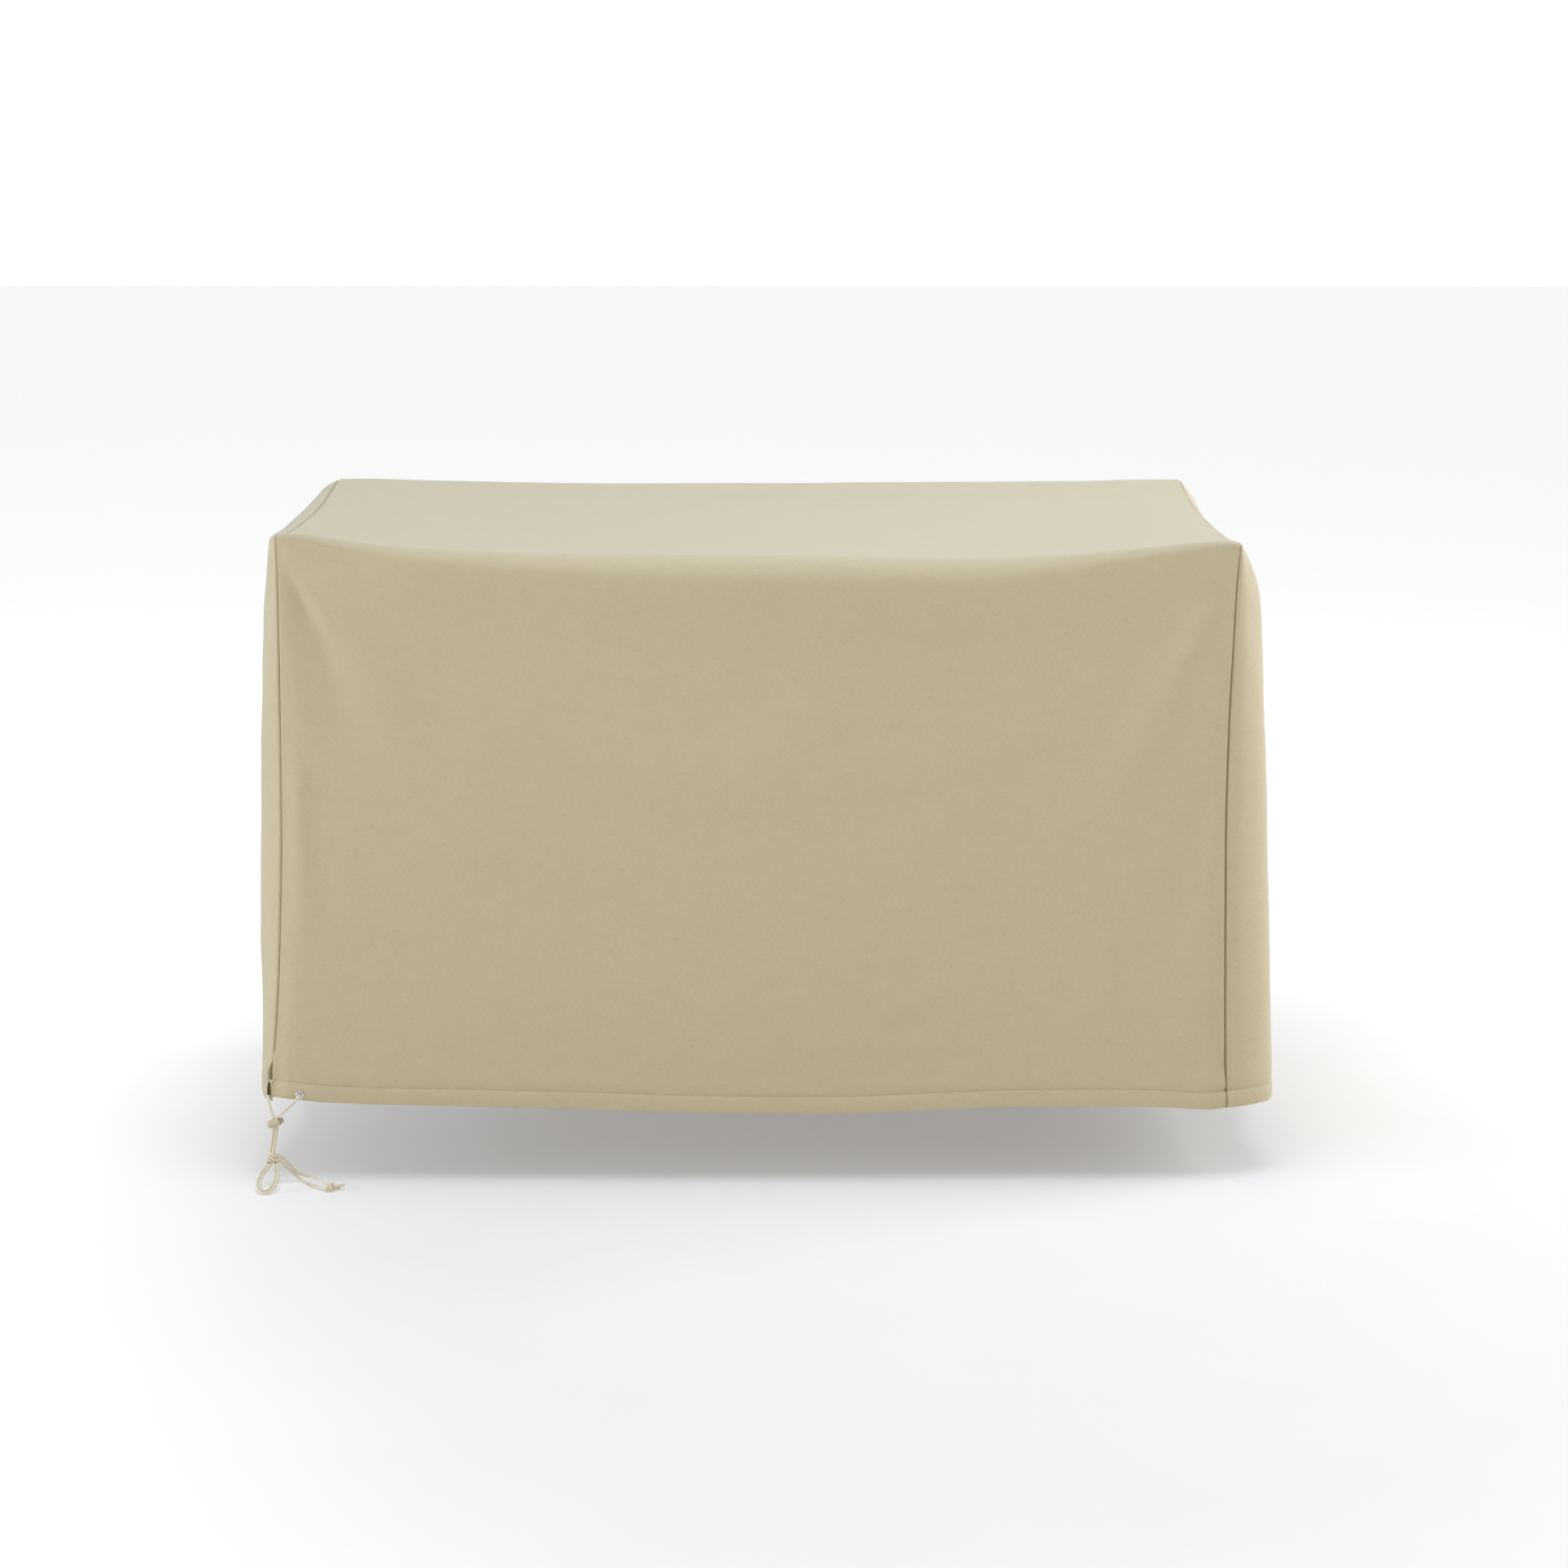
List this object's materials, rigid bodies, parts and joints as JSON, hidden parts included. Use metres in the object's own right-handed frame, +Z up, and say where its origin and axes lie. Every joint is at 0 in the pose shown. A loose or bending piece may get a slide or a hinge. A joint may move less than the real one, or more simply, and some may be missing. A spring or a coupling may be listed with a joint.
{
  "type": "deck box cover",
  "caption": "Loose fitted outdoor cover for a storage box in tan woven cloth, with a sagging top, turned-up hem and a locked, knotted drawcord hanging at the left front corner.",
  "frame": {"origin": "On the underside of the top cloth, at its centre, where the cover lies on what it covers", "axes": "+X to the right along the long panel, +Y to the back, +Z up"},
  "size_m": [1.4394, 0.8482, 0.9142],
  "materials": {
    "cloth": "plain woven, matte",
    "cord": "braided, matte",
    "metal": "plated",
    "plastic": "moulded, satin"
  },
  "bodies": {
    "root": {"wrap": "cloth", "end_left": "cloth", "end_right": "cloth", "eyelet_front": "metal", "cord_front": "cord", "cord_side": "cord", "cord_pair_left": "cord", "cord_pair_right": "cord", "cord_loop_outer": "cord", "cord_loop_inner": "cord", "cord_tail_upper": "cord", "cord_tail_lower": "cord", "cord_end_long": "cord", "cord_end_short": "cord", "cord_lock": "plastic", "cord_lock_plunger": "plastic", "knot_upper": "cord", "knot_lower": "cord"}
  },
  "joints": []
}
